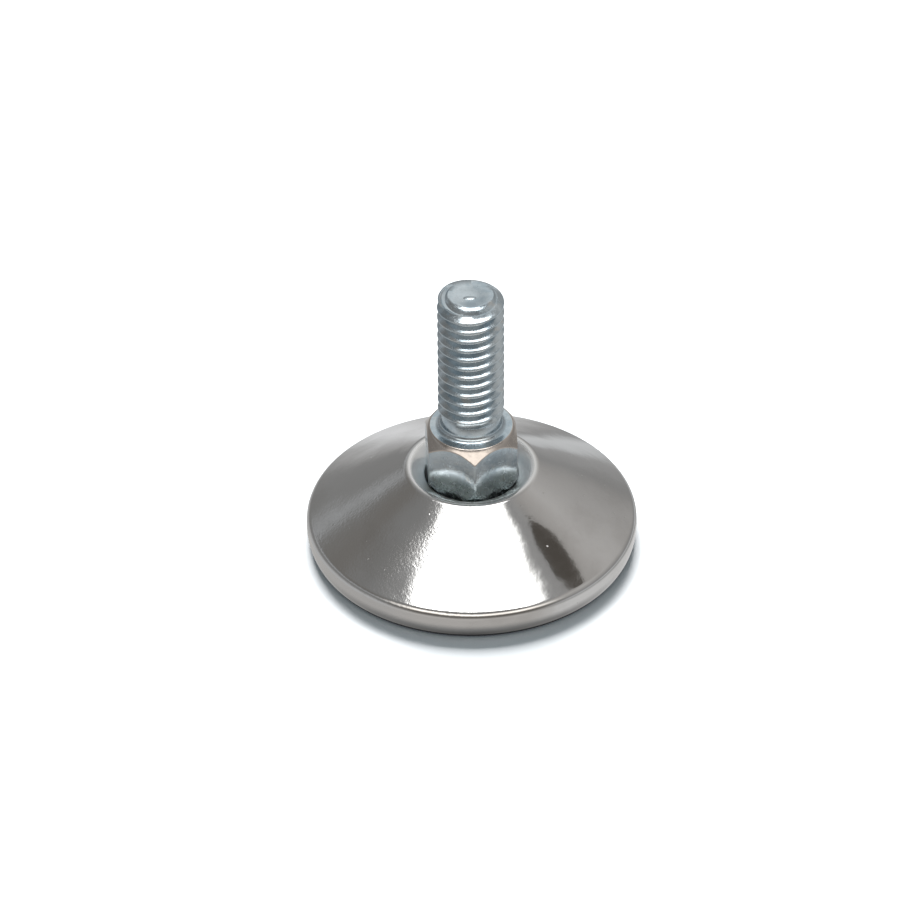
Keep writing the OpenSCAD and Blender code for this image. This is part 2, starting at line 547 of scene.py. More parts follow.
class Wire:
    """A node's output that takes part in sums and products as a number does."""

    def __init__(self, graph: Graph, socket: bpy.types.NodeSocket) -> None:
        """Keeps the socket and the graph that it is in."""
        self.graph = graph
        self.socket = socket

    def _math(self, operation: str, a: Number, b: Number = 0.0) -> "Wire":
        """Adds one Math node."""
        return self.graph.wire("ShaderNodeMath", 0, {"operation": operation}, {0: a, 1: b})

    def __add__(self, other: Number) -> "Wire":
        """Returns the sum."""
        return self._math("ADD", self, other)

    __radd__ = __add__

    def __mul__(self, other: Number) -> "Wire":
        """Returns the product."""
        return self._math("MULTIPLY", self, other)

    __rmul__ = __mul__

    def __sub__(self, other: Number) -> "Wire":
        """Returns the difference."""
        return self._math("SUBTRACT", self, other)

    def __rsub__(self, other: Number) -> "Wire":
        """Returns the difference with the sides changed over."""
        return self._math("SUBTRACT", other, self)

    def __truediv__(self, other: Number) -> "Wire":
        """Returns the quotient."""
        return self._math("DIVIDE", self, other)

    def least(self, other: Number) -> "Wire":
        """Returns the smaller of two values."""
        return self._math("MINIMUM", self, other)

    def most(self, other: Number) -> "Wire":
        """Returns the larger of two values."""
        return self._math("MAXIMUM", self, other)

    def exp(self) -> "Wire":
        """Returns e to this power."""
        return self._math("EXPONENT", self)

    def root(self) -> "Wire":
        """Returns the square root."""
        return self._math("SQRT", self)

    def arcsine(self) -> "Wire":
        """Returns the angle in radians whose sine this is."""
        return self._math("ARCSINE", self)


def new_material(name: str) -> Tuple[bpy.types.Material, Graph]:
    """Makes a material.

    Args:
        name: Name of the material.

    Returns:
        The material, and the graph of its emptied node tree.
    """
    made = bpy.data.materials.new(name)
    made.use_nodes = True
    return made, Graph(made.node_tree)


# ---------------------------------------------------------------------------------------------
# Finishes
# ---------------------------------------------------------------------------------------------


class Finish:
    """A finish that dresses pieces with one procedural material."""

    name = "finish"

    def build(self, graph: Graph) -> bpy.types.Node:
        """Adds the finish's nodes and returns its shader node."""
        raise NotImplementedError

    def material(self) -> bpy.types.Material:
        """Returns this finish's material, made the first time it is asked for."""
        found = bpy.data.materials.get(self.name)
        if found is not None:
            return found
        made, graph = new_material(self.name)
        graph.finish(self.build(graph))
        return made

    def dress(self, piece: bpy.types.Object) -> None:
        """Makes this the only material of a piece."""
        piece.data.materials.clear()
        piece.data.materials.append(self.material())


@dataclass(frozen=True)
class BrightSteel(Finish):
    """Bright plate over pressed steel: faint orange peel, small pits and dull smears.

    The left side is more worn, and the flare round the hole is softer than the cone and paler, which is
    painted light.
    """

    name: str = "bright_plated_steel"
    tint: Colour = (0.625, 0.62, 0.61)
    stain: Colour = (0.53, 0.52, 0.505)
    flare_painted_light: Colour = (0.93, 0.935, 0.93)
    cloud: Lumps = Lumps(9 * MM, 4.0, 0.55)
    fine: Lumps = Lumps(0.5 * MM, 3.0, 0.6)
    wave: Lumps = Lumps(8 * MM, 1.0, 0.4)
    peel: Lumps = Lumps(1.3 * MM, 2.0, 0.5)
    grain: Lumps = Lumps(0.36 * MM, 3.0, 0.6)
    wave_depth: float = 0.14 * MM
    peel_depth: float = 0.010 * MM
    grain_depth: float = 0.022 * MM
    grain_least: float = 0.05
    pit_gap: float = 2.6 * MM
    pit_edge: Point = (0.03, 0.07)
    pit_depth: float = 0.5
    pit_stain: float = 0.4
    pit_rough: float = 0.2
    dull_reach: Point = (0.48, 0.66)
    dull_stain: float = 0.5
    worn_side: Point = (4 * MM, -5 * MM)
    worn_reach: Point = (0.30, 0.55)
    flare_reach: Point = (9.15 * MM, 8.75 * MM)
    flare_rough: float = 0.22
    gloss: float = 0.085
    smear: float = 0.10

    def build(self, graph: Graph) -> bpy.types.Node:
        """Adds the nodes of the bright plate.

        Args:
            graph: The material's node tree.

        Returns:
            The shader node.
        """
        here = graph.place()
        x, y, _ = graph.parts(here)
        flare = graph.ramp((x * x + y * y).root(), *self.flare_reach)
        cloud = graph.noise(here, self.cloud)
        fine = graph.noise(here, self.fine)
        wave = graph.noise(here, self.wave)
        peel = graph.noise(here, self.peel)
        grain = graph.noise(here, self.grain)
        cells = graph.wire(
            "ShaderNodeTexVoronoi",
            "Distance",
            {"feature": "F1"},
            {"Vector": here, "Scale": 1.0 / self.pit_gap},
        )
        pits = graph.ramp(cells, *self.pit_edge, 1.0, 0.0)
        dull = graph.ramp(cloud, *self.dull_reach)
        worn = graph.ramp(x, *self.worn_side) * graph.ramp(cloud, *self.worn_reach)
        stained = dull * self.dull_stain + pits * self.pit_stain
        colour = graph.mix(stained, self.tint, self.stain)
        # Painted light: the flare round the hole gets a paler colour so that it looks brighter.
        colour = graph.mix(flare, colour, self.flare_painted_light)
        rough = self.gloss + dull * self.smear * fine + pits * self.pit_rough
        rough = rough + flare * self.flare_rough
        relief = grain * (self.grain_least + worn) - pits * self.pit_depth
        normal = graph.bump(wave, self.wave_depth)
        normal = graph.bump(peel, self.peel_depth, normal)
        normal = graph.bump(relief, self.grain_depth, normal)
        return graph.shader(
            {"Base Color": colour, "Metallic": 1.0, "Roughness": rough, "Normal": normal}
        )


@dataclass(frozen=True)
class ZincPlate(Finish):
    """Blue bright zinc on rolled and headed steel, slightly milky, with darker passivated spots.

    The foot of the hexagon's front is darker towards the bottom, which is painted shade, and the hexagon's
    turned chamfer is warmer, which is a painted warm reflection.
    """

    name: str = "blue_zinc_plate"
    tint: Colour = (0.58, 0.645, 0.68)
    deep: Colour = (0.42, 0.50, 0.55)
    warm: Colour = (0.62, 0.60, 0.56)
    painted_shade_tint: Colour = (0.22, 0.25, 0.24)
    painted_warm_tint: Colour = (0.53, 0.465, 0.41)
    cloud: Lumps = Lumps(3.5 * MM, 4.0, 0.6)
    fleck: Lumps = Lumps(0.7 * MM, 4.0, 0.65)
    tone: Lumps = Lumps(1.8 * MM, 3.0, 0.5)
    grain: Lumps = Lumps(0.12 * MM, 3.0, 0.6)
    fleck_depth: float = 0.012 * MM
    grain_depth: float = 0.004 * MM
    deep_reach: Point = (0.38, 0.66)
    warm_reach: Point = (0.56, 0.74)
    warm_share: float = 0.5
    painted_shade_height: Point = (15.9 * MM, 13.9 * MM)
    painted_shade_front: Point = (-1.4 * MM, -3.0 * MM)
    painted_shade_ragged: float = 1.6 * MM
    painted_shade_share: float = 0.65
    painted_shade_rough: float = 0.06
    chamfer_slope: float = 1.43
    chamfer_reach: Point = (28.55 * MM, 28.68 * MM)
    chamfer_top: Point = (21.0 * MM, 20.4 * MM)
    painted_warm_share: float = 0.85
    fleck_reach: Point = (0.40, 0.75)
    fleck_rough: float = 0.15
    gloss: float = 0.16

    def build(self, graph: Graph) -> bpy.types.Node:
        """Adds the nodes of the zinc.

        Args:
            graph: The material's node tree.

        Returns:
            The shader node.
        """
        here = graph.place()
        x, y, z = graph.parts(here)
        cloud = graph.noise(here, self.cloud)
        fleck = graph.noise(here, self.fleck)
        tone = graph.noise(here, self.tone)
        grain = graph.noise(here, self.grain)
        colour = graph.mix(graph.ramp(cloud, *self.deep_reach), self.tint, self.deep)
        colour = graph.mix(graph.ramp(tone, *self.warm_reach) * self.warm_share, colour, self.warm)
        # Painted shade: the lower front of the hexagon is darkened towards the bottom, standing in for the
        # dark seat that its flats mirror.
        height = z + (fleck - 0.5) * self.painted_shade_ragged
        painted_shade_mask = graph.ramp(height, *self.painted_shade_height) * graph.ramp(y, *self.painted_shade_front)
        colour = graph.mix(painted_shade_mask * self.painted_shade_share, colour, self.painted_shade_tint)
        # Painted reflection: the chamfer is tinted warm and brown, standing in for the warm light that it
        # mirrors.
        outwards = (x * x + y * y).root()
        painted_warm_mask = graph.ramp(z + outwards * self.chamfer_slope, *self.chamfer_reach)
        painted_warm_mask = painted_warm_mask * graph.ramp(z, *self.chamfer_top)
        colour = graph.mix(painted_warm_mask * self.painted_warm_share, colour, self.painted_warm_tint)
        rough = self.gloss + graph.ramp(fleck, *self.fleck_reach) * self.fleck_rough
        rough = rough + painted_shade_mask * self.painted_shade_rough
        normal = graph.bump(fleck, self.fleck_depth)
        normal = graph.bump(grain, self.grain_depth, normal)
        return graph.shader(
            {"Base Color": colour, "Metallic": 1.0, "Roughness": rough, "Normal": normal}
        )


@dataclass(frozen=True)
class BlackRubber(Finish):
    """Matt moulded rubber with a fine skin and a little grey bloom."""

    name: str = "black_rubber"
    tint: Colour = (0.018, 0.018, 0.020)
    bloom: Colour = (0.05, 0.05, 0.052)
    cloud: Lumps = Lumps(5 * MM, 4.0, 0.6)
    skin: Lumps = Lumps(0.22 * MM, 3.0, 0.6)
    skin_depth: float = 0.02 * MM
    skin_rough: float = 0.2
    bloom_reach: Point = (0.45, 0.75)
    gloss: float = 0.62
    shine: float = 0.35

    def build(self, graph: Graph) -> bpy.types.Node:
        """Adds the nodes of the rubber.

        Args:
            graph: The material's node tree.

        Returns:
            The shader node.
        """
        here = graph.place()
        cloud = graph.noise(here, self.cloud)
        skin = graph.noise(here, self.skin)
        return graph.shader(
            {
                "Base Color": graph.mix(graph.ramp(cloud, *self.bloom_reach), self.tint, self.bloom),
                "Roughness": self.gloss + skin * self.skin_rough,
                "Specular IOR Level": self.shine,
                "Normal": graph.bump(skin, self.skin_depth),
            }
        )


@dataclass(frozen=True)
class NaturalNylon(Finish):
    """Natural nylon, waxy and slightly uneven."""

    name: str = "natural_nylon"
    tint: Colour = (0.78, 0.74, 0.64)
    shade: Colour = (0.70, 0.64, 0.52)
    cloud: Lumps = Lumps(4 * MM, 3.0, 0.5)
    skin: Lumps = Lumps(0.3 * MM, 2.0, 0.5)
    skin_depth: float = 0.008 * MM
    shade_reach: Point = (0.35, 0.7)
    gloss: float = 0.36
    cloud_rough: float = 0.15
    wax: float = 0.15
    wax_depth: Place = (1.2 * MM, 1.0 * MM, 0.7 * MM)

    def build(self, graph: Graph) -> bpy.types.Node:
        """Adds the nodes of the nylon.

        Args:
            graph: The material's node tree.

        Returns:
            The shader node.
        """
        here = graph.place()
        cloud = graph.noise(here, self.cloud)
        skin = graph.noise(here, self.skin)
        return graph.shader(
            {
                "Base Color": graph.mix(graph.ramp(cloud, *self.shade_reach), self.tint, self.shade),
                "Roughness": self.gloss + cloud * self.cloud_rough,
                "Subsurface Weight": self.wax,
                "Subsurface Radius": self.wax_depth,
                "Subsurface Scale": 1.0,
                "Normal": graph.bump(skin, self.skin_depth),
            }
        )


@dataclass(frozen=True)
class WasherSteel(Finish):
    """Plain zinc plated washer steel with faint rolling lines."""

    name: str = "washer_steel"
    tint: Colour = (0.50, 0.52, 0.54)
    dark: Colour = (0.34, 0.36, 0.38)
    drawn_out: Place = (1.0, 14.0, 1.0)
    line: Lumps = Lumps(2.4 * MM, 4.0, 0.6)
    cloud: Lumps = Lumps(3 * MM, 3.0, 0.5)
    line_depth: float = 0.004 * MM
    line_rough: float = 0.16
    dark_reach: Point = (0.35, 0.7)
    gloss: float = 0.26

    def build(self, graph: Graph) -> bpy.types.Node:
        """Adds the nodes of the washer steel.

        Args:
            graph: The material's node tree.

        Returns:
            The shader node.
        """
        here = graph.place()
        drawn = graph.wire("ShaderNodeMapping", 0, None, {"Vector": here, "Scale": self.drawn_out})
        lines = graph.noise(drawn, self.line)
        cloud = graph.noise(here, self.cloud)
        return graph.shader(
            {
                "Base Color": graph.mix(graph.ramp(cloud, *self.dark_reach), self.tint, self.dark),
                "Metallic": 1.0,
                "Roughness": self.gloss + lines * self.line_rough,
                "Normal": graph.bump(lines, self.line_depth),
            }
        )


# ---------------------------------------------------------------------------------------------
# Pieces
# ---------------------------------------------------------------------------------------------


def swivel_height() -> float:
    """Returns the height of the ball's centre, about which the joints turn."""
    return float(frame["joints"][0]["pos_m"][2]) + SWIVEL_ROUNDING


@dataclass
class BaseShell:
    """Drawn sheet base: bowl for the ball, flare, cone, shoulder and a rim that rolls inwards."""

    ball_z: float
    radius: float = 23.69 * MM
    sheet: float = 1.0 * MM
    seat: float = 7.532 * MM
    seat_edge_r: float = 6.752 * MM
    hole: float = 5.17 * MM
    crown: Point = (9.052 * MM, 13.122 * MM)
    shoulder_z: float = 4.3 * MM
    crown_bend: float = 1.25 * MM
    shoulder_bend: float = 1.3 * MM
    lip_bend: float = 4.0 * MM
    lip_h: float = 2.0 * MM
    lip_low: float = 0.55 * MM
    stand: float = 0.6 * MM
    guard: float = 0.12 * MM
    rim_guard: float = 0.1 * MM
    seat_steps: int = 10
    flare_steps: int = 3
    bend_steps: int = 14
    cone_steps: int = 12
    rim_steps: int = 2
    lip_steps: int = 10
    lip_end_steps: int = 8
    steps: int = 240
    crease: float = 32.0

    @staticmethod
    def _bend(a: Point, b: Point, c: Point, radius: float) -> Tuple[Point, float, float]:
        """Rounds the corner between two straight lines.

        Args:
            a: Point before the corner.
            b: The corner.
            c: Point after the corner.
            radius: Radius of the bend.

        Returns:
            The bend's centre and the directions in degrees of its two ends.
        """
        u = Vector((a[0] - b[0], a[1] - b[1])).normalized()
        w = Vector((c[0] - b[0], c[1] - b[1])).normalized()
        half = math.acos(max(-1.0, min(1.0, u.dot(w)))) / 2.0
        middle = Vector(b) + (u + w).normalized() * (radius / math.sin(half))
        first = math.degrees(math.atan2(-u.y, -u.x)) + 90.0
        last = math.degrees(math.atan2(w.y, w.x)) + 90.0
        return (middle.x, middle.y), first, last

    def face(self, depth: float) -> list[Point]:
        """Returns one face of the sheet from the flare's foot to the lip.

        Args:
            depth: How far the face is set in from the outer face.

        Returns:
            Points as radius and height.
        """
        edge = (self.seat_edge_r, self.ball_z - ball_drop(self.seat, self.seat_edge_r))
        shoulder = (self.radius, self.shoulder_z)
        foot = (self.radius, 0.0)
        top, flare, cone = self._bend(edge, self.crown, shoulder, self.crown_bend)
        side, _, _ = self._bend(self.crown, shoulder, foot, self.shoulder_bend)
        lip = (self.radius - self.lip_bend, self.stand + self.lip_h)
        roll = math.degrees(math.asin(self.lip_h / self.lip_bend))
        a = math.radians(flare)
        start = (edge[0] - depth * math.cos(a), edge[1] - depth * math.sin(a))
        crown = arc(top, self.crown_bend - depth, flare, cone, self.bend_steps)
        bend = arc(side, self.shoulder_bend - depth, cone, 0.0, self.bend_steps)
        rolled = arc(lip, self.lip_bend - depth, 0.0, -roll, self.lip_steps)
        return (
            [start]
            + stretch(start, crown[0], self.flare_steps, self.guard)
            + crown
            + stretch(crown[-1], bend[0], self.cone_steps, self.guard)
            + bend
            + stretch(bend[-1], rolled[0], self.rim_steps, self.rim_guard)
            + rolled
        )

    def lip_end(self, outer: Point, inner: Point) -> list[Point]:
        """Rounds the edge of the sheet at the lip.

        Args:
            outer: End of the outer face.
            inner: End of the inner face.

        Returns:
            The points between the two ends.
        """
        middle = ((outer[0] + inner[0]) / 2.0, (outer[1] + inner[1]) / 2.0)
        start = math.degrees(math.atan2(outer[1] - middle[1], outer[0] - middle[0]))
        half = math.dist(outer, inner) / 2.0
        edge = arc(middle, half, start, start - 180.0, self.lip_end_steps)
        return [(r, max(z, self.lip_low)) for r, z in edge[1:-1]]

    def outline(self) -> list[Point]:
        """Returns the sheet's closed outline, clockwise from the hole in the bowl."""
        outer = self.face(0.0)
        inner = self.face(self.sheet)
        cup = self.seat + self.sheet
        centre = (0.0, self.ball_z)
        low, high = under_ball(self.seat, self.hole), under_ball(self.seat, self.seat_edge_r)
        meet, far = under_ball(cup, inner[0][0]), under_ball(cup, self.hole)
        seat = arc(centre, self.seat, low, high, self.seat_steps)
        bowl = arc(centre, cup, meet, far, self.seat_steps)
        loop = seat[:-1] + outer + self.lip_end(outer[-1], inner[-1]) + inner[::-1][:-1] + bowl
        return loop + [loop[0]]

    def make(self) -> bpy.types.Object:
        """Builds, dresses and places the shell.

        Returns:
            The shell.
        """
        shell = Bench.lathe("steel_base_shell", self.outline(), self.steps)
        Bench.smooth(shell, self.crease)
        BrightSteel().dress(shell)
        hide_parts("base_shell")
        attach(shell, Body.BASE.value)
        return shell


@dataclass
class BasePad:
    """Moulded pad: a foot under the rim, a waist inside the lip, a bead above it and grip grooves."""

    ball_z: float
    middle: float = 4.0 * MM
    foot: float = 22.964 * MM
    foot_top: float = 0.48 * MM
    foot_edge: float = 0.02 * MM
    waist: float = 22.178 * MM
    bead: float = 22.378 * MM
    bead_z: float = 1.5 * MM
    top: float = 3.3 * MM
    edge: float = 0.4 * MM
    hollow: float = 11.992 * MM
    groove_radii: Tuple[float, ...] = (9.0 * MM, 13.5 * MM, 18.0 * MM)
    groove_w: float = 1.4 * MM
    groove_depth: float = 0.7 * MM
    groove_round: float = 0.15 * MM
    groove_steps: int = 3
    edge_steps: int = 5
    hollow_steps: int = 14
    steps: int = 180
    crease: float = 35.0

    def groove(self, radius: float) -> list[Point]:
        """Draws one round groove in the underside.

        Args:
            radius: Radius of the groove's middle.

        Returns:
            Its outline from its inner to its outer edge.
        """
        r, w, d, c = radius, self.groove_w / 2.0, self.groove_depth, self.groove_round
        steps = self.groove_steps
        return (
            arc((r - w - c, c), c, -90.0, 0.0, steps)
            + [(r - w, d - c)]
            + arc((r - w + c, d - c), c, 180.0, 90.0, steps)[1:]
            + arc((r + w - c, d - c), c, 90.0, 0.0, steps)
            + [(r + w, c)]
            + arc((r + w + c, c), c, 180.0, 270.0, steps)[1:]
        )

    def outline(self) -> list[Point]:
        """Draws the pad.

        Returns:
            Its outline from the axis underneath to the axis above.
        """
        low: list[Point] = [(0.0, 0.0), (self.middle, 0.0)]
        for radius in self.groove_radii:
            low += self.groove(radius)
        e = self.edge
        side = arc((self.foot - e, e), e, -90.0, 0.0, self.edge_steps) + [
            (self.foot, self.foot_top - self.foot_edge),
            (self.foot - self.foot_edge, self.foot_top),
            (self.waist, self.foot_top),
            (self.waist, self.bead_z),
            (self.bead, self.bead_z + e),
            (self.bead, self.top - 2.0 * e),
            (self.bead - 3.0 * e, self.top),
        ]
        brim = math.sqrt(self.hollow**2 - (self.ball_z - self.top) ** 2)
        start = under_ball(self.hollow, brim)
        bowl = arc((0.0, self.ball_z), self.hollow, start, -90.0, self.hollow_steps)
        bowl[-1] = (0.0, self.ball_z - self.hollow)
        return low + side + bowl

    def make(self) -> bpy.types.Object:
        """Builds, dresses and places the pad.

        Returns:
            The pad.
        """
        pad = Bench.lathe("rubber_pad", self.outline(), self.steps)
        Bench.smooth(pad, self.crease)
        BlackRubber().dress(pad)
        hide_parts("base_pad")
        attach(pad, Body.BASE.value)
        return pad


@dataclass
class ThreadedStud:
    """Headed stud: rolled thread, neck, hexagon with a ball under it, shank and clenched end.

    Sizes whose names end in "below" are measured down from the tip.
    """

    top: float
    ball_z: float
    # Thread
    radius: float = 4.73 * MM
    pitch: float = 1.5875 * MM
    root: float = 3.76 * MM
    crest_flat: float = 0.22 * MM
    root_flat: float = 0.36 * MM
    crest_round: float = 0.13 * MM
    root_round: float = 0.16 * MM
    first_crest_below: float = 1.36 * MM
    turns: int = 16
    turns_down: float = 14.0
    turns_cut: float = 1.3
    over: float = 0.4 * MM
    # Tip, as radius and height from the top
    tip_dish: Tuple[Point, ...] = mm((0.0, -0.20), (0.9, -0.185), (1.6, -0.12), (2.3, -0.03), (2.8, 0.0))
    tip_edge_r: float = 4.25 * MM
    tip_edge: float = 0.35 * MM
    tip_edge_end: float = 35.0
    tip_slope_below: float = 1.3 * MM
    pip_half: Place = (0.95 * MM, 0.46 * MM, 0.20 * MM)
    pip_place: Point = (-0.1 * MM, -0.05 * MM)
    pip_below: float = 0.225 * MM
    groove_tilt: float = -7.0
    groove: Tuple[Point, ...] = mm(
        (2.50, 0.305),
        (2.62, 0.275),
        (3.15, 0.050),
        (3.40, -0.190),
        (3.62, -0.330),
        (4.05, -0.290),
        (4.22, -0.120),
        (5.20, 0.350),
        (5.20, 1.400),
        (2.50, 1.400),
        (2.50, 0.305),
    )
    # Neck
    neck: float = 4.245 * MM
    neck_top_below: float = 20.2 * MM
    neck_inset: float = 0.1 * MM
    run_out: float = 0.8 * MM
    run_step: float = 0.05 * MM
    run_end: float = 0.25 * MM
    plug: float = 0.9 * MM
    fillet: float = 0.9 * MM
    # Hexagon
    head_below: float = 22.4 * MM
    hex_af: float = 12.7 * MM
    hex_turn: float = 3.7
    hex_spare: float = 0.25 * MM
    chamfer_r: float = 6.0 * MM
    chamfer_h: float = 1.9 * MM
    chamfer_outside: float = 0.05 * MM
    chamfer_inside: float = 0.06 * MM
    face_guard: float = 0.1 * MM
    corner_bevel: float = 0.16 * MM
    # Ball, shank and clenched end
    ball: float = 7.45 * MM
    ball_step: float = 0.05 * MM
    shank: float = 3.6 * MM
    shank_step: float = 0.05 * MM
    spigot: float = 3.15 * MM
    keeper_face: float = 9.392 * MM
    clench: float = 5.2 * MM
    clench_face: float = 10.642 * MM
    clench_back: float = 11.542 * MM
    clench_flat: float = 0.1 * MM
    # Steps round the axis and along arcs
    turn_steps: int = 96
    groove_steps: int = 96
    tip_steps: int = 128
    head_steps: int = 192
    ball_steps: int = 44
    crease: float = 34.0

    @property
    def hex_top(self) -> float:
        """Height of the hexagon's top face."""
        return self.top - self.head_below

    @property
    def run(self) -> float:
        """Height at which the thread runs out."""
        return self.top - self.neck_top_below

    @property
    def corner(self) -> float:
        """Radius over the hexagon's sharp corners."""
        return self.hex_af / 2.0 / math.cos(math.radians(30.0))

    def profile(self) -> list[Point]:
        """Draws one pitch of the thread, from crest to crest.

        Returns:
            Points as radius and height above the lower crest.
        """
        flank = (self.pitch - self.crest_flat - self.root_flat) / 2.0
        depth = self.radius - self.root
        tilt = math.degrees(math.atan2(flank, depth))
        slide = math.tan(math.radians((90.0 - tilt) / 2.0))
        c, q = self.crest_round, self.root_round
        half = self.crest_flat / 2.0
        up = self.pitch / 2.0 - self.root_flat / 2.0
        crest = arc((self.radius - c, half - c * slide), c, 0.0, 90.0 - tilt, 4)
        hollow = arc((self.root + q, up + q * slide), q, 270.0 - tilt, 180.0, 4)
        rise = [(self.radius, 0.0)] + crest + hollow + [(self.root, self.pitch / 2.0)]
        fall = [(r, self.pitch - z) for r, z in rise[::-1]][1:]
        return rise + fall

    def thread(self) -> bpy.types.Object:
        """Winds the thread into a right-hand helix and cuts both its ends level.

        Returns:
            The threaded bar, longer at the top than the stud.
        """
        low = self.top - self.first_crest_below + self.pitch / 4.0 - self.turns_down * self.pitch
        screw = Bench.trace("stud_thread", [(r, z + low) for r, z in self.profile()])
        Bench.apply(
            screw,
            "SCREW",
            axis="Z",
            angle=FULL_TURN,
            screw_offset=self.pitch,
            iterations=self.turns,
            steps=self.turn_steps,
            render_steps=self.turn_steps,
            use_merge_vertices=True,
            merge_threshold=Bench.MERGE,
        )
        Bench.tidy(screw, Bench.SEAM)
        Bench.bisect(screw, low + self.turns_cut * self.pitch, Cut.BELOW)
        Bench.bisect(screw, self.top + self.over, Cut.ABOVE)
        Bench.tidy(screw, Bench.SEAM)
        return screw

    def tip_blank(self) -> bpy.types.Object:
        """Turns the solid that the thread is cut to: a softened tip above and a run-out below.

        Returns:
            The solid.
        """
        top, run = self.top, self.run
        wide = self.radius + self.over
        thin = self.neck - self.neck_inset
        edge = (self.tip_edge_r, top - self.tip_edge)
        outline = [(r, top + z) for r, z in self.tip_dish]
        outline += arc(edge, self.tip_edge, 90.0, self.tip_edge_end, 5)
        outline += [(wide, top - self.tip_slope_below)]
        outline += [(wide, run + self.run_out), (thin, run - self.run_step)]
        outline += [(thin, run - self.run_end), (0.0, run - self.run_end)]
        return Bench.lathe("tip_blank", outline[::-1], self.tip_steps)

    def tip_pip(self) -> bpy.types.Object:
        """Shapes the small raised pip that cropping leaves in the middle of the tip.

        Returns:
            The pip.
        """
        Bench.clear()
        bpy.ops.mesh.primitive_uv_sphere_add(
            segments=48, ring_count=24, radius=1.0, location=(0.0, 0.0, 0.0)
        )
        pip = bpy.context.active_object
        Bench.edit(pip)
        bpy.ops.transform.resize(value=self.pip_half, center_override=(0.0, 0.0, 0.0))
        bpy.ops.transform.translate(value=(*self.pip_place, self.top - self.pip_below))
        bpy.ops.object.mode_set(mode="OBJECT")
        return pip

    def tip_groove(self) -> bpy.types.Object:
        """Turns the ring-shaped cutter of the thread's first groove, deepest at the front.

        Returns:
            The cutter.
        """
        outline = [(r, self.top + z) for r, z in self.groove]
        cutter = Bench.lathe("tip_groove", outline, self.groove_steps)
        Bench.edit(cutter)
        bpy.ops.transform.rotate(
            value=math.radians(self.groove_tilt),
            orient_axis="X",
            orient_type="GLOBAL",
            center_override=(0.0, 0.0, self.top),
        )
        bpy.ops.object.mode_set(mode="OBJECT")
        return cutter

    def tail_outline(self) -> list[Point]:
        """Draws the clenched end, the spigot, the shank and the ball.

        Returns:
            The outline from the axis underneath to the ball's widest place.
        """
        z = self.ball_z
        centre = (0.0, z)
        flat = self.clench_back - self.clench_flat
        flat_r = ball_drop(self.clench_back, flat)
        shoulder = z - ball_drop(self.keeper_face, self.shank) + self.shank_step
        back = under_ball(self.clench_back, flat_r)
        rim = under_ball(self.clench_back, self.clench)
        front = under_ball(self.clench_face, self.clench)
        foot = under_ball(self.clench_face, self.spigot)
        points: list[Point] = [(0.0, z - flat)]
        points += arc(centre, self.clench_back, back, rim, 8)
        points += arc(centre, self.clench_face, front, foot, 6)
        points += [(self.spigot, shoulder), (self.shank, shoulder)]
        points += arc(centre, self.ball, under_ball(self.ball, self.shank), 0.0, self.ball_steps)
        return points

    def head_outline(self) -> list[Point]:
        """Draws everything below the thread.

        Returns:
            The outline from the axis underneath to the axis above.
        """
        top, run = self.hex_top, self.run
        wide = self.corner + self.hex_spare
        slope = self.chamfer_h / (self.corner - self.chamfer_r)
        cone_foot = top - slope * (wide - self.chamfer_r)
        points = self.tail_outline()
        points += [(wide, self.ball_z + self.ball_step), (wide, cone_foot)]
        points += stretch(points[-1], (self.chamfer_r, top), 5)
        points += [(self.chamfer_r + self.chamfer_outside, top - slope * self.chamfer_outside)]
        points += [(self.chamfer_r - self.chamfer_inside, top)]
        points += stretch(points[-1], (self.neck + self.fillet, top), 2, self.face_guard)
        foot = (self.neck + self.fillet, top + self.fillet)
        points += arc(foot, self.fillet, 270.0, 180.0, 9)
        points += [(self.neck, run), (self.root - self.neck_inset, run + self.plug)]
        points += [(0.0, run + self.plug)]
        return points

    def hex_bar(self) -> bpy.types.Object:
        """Makes the hexagonal bar that the head is cut to, with softened corners.

        Returns:
            The bar.
        """
        Bench.clear()
        bpy.ops.mesh.primitive_cylinder_add(
            vertices=6,
            radius=self.corner,
            depth=self.top + 4.0 * MM,
            location=(0.0, 0.0, self.top / 2.0),
            rotation=(0.0, 0.0, math.radians(self.hex_turn)),
        )
        bar = bpy.context.active_object
        bpy.ops.object.transform_apply(location=True, rotation=True, scale=True)
        Bench.edit(bar, select=False)
        bpy.ops.mesh.select_mode(type="EDGE")
        bpy.ops.object.mode_set(mode="OBJECT")
        for edge in bar.data.edges:
            a, b = (bar.data.vertices[i].co for i in edge.vertices)
            edge.select = abs(a.z - b.z) > MM
        bpy.ops.object.mode_set(mode="EDIT")
        bpy.ops.mesh.bevel(offset=self.corner_bevel, offset_type="OFFSET", segments=3)
        bpy.ops.object.mode_set(mode="OBJECT")
        return bar

    def head(self) -> bpy.types.Object:
        """Turns the head with its neck and tail, and cuts it to a hexagon with softened edges.

        Returns:
            The head.
        """
        blank = Bench.lathe("stud_head", self.head_outline(), self.head_steps)
        Bench.combine(blank, self.hex_bar(), "INTERSECT")
        Bench.tidy(blank, Bench.WELD)
        return blank

    def make(self) -> bpy.types.Object:
        """Builds, dresses and places the stud.

        Returns:
            The stud.
        """
        stud = self.thread()
        Bench.combine(stud, self.tip_blank(), "INTERSECT")
        Bench.combine(stud, self.tip_groove(), "DIFFERENCE")
        Bench.combine(stud, self.tip_pip(), "UNION")
        Bench.tidy(stud, Bench.SEAM)
        Bench.combine(stud, self.head(), "UNION")
        stud.name = "zinc_plated_stud"
        Bench.tidy(stud, Bench.SEAM)
        Bench.smooth(stud, self.crease)
        ZincPlate().dress(stud)
        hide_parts("threaded_stud")
        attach(stud, Body.STUD.value)
        return stud


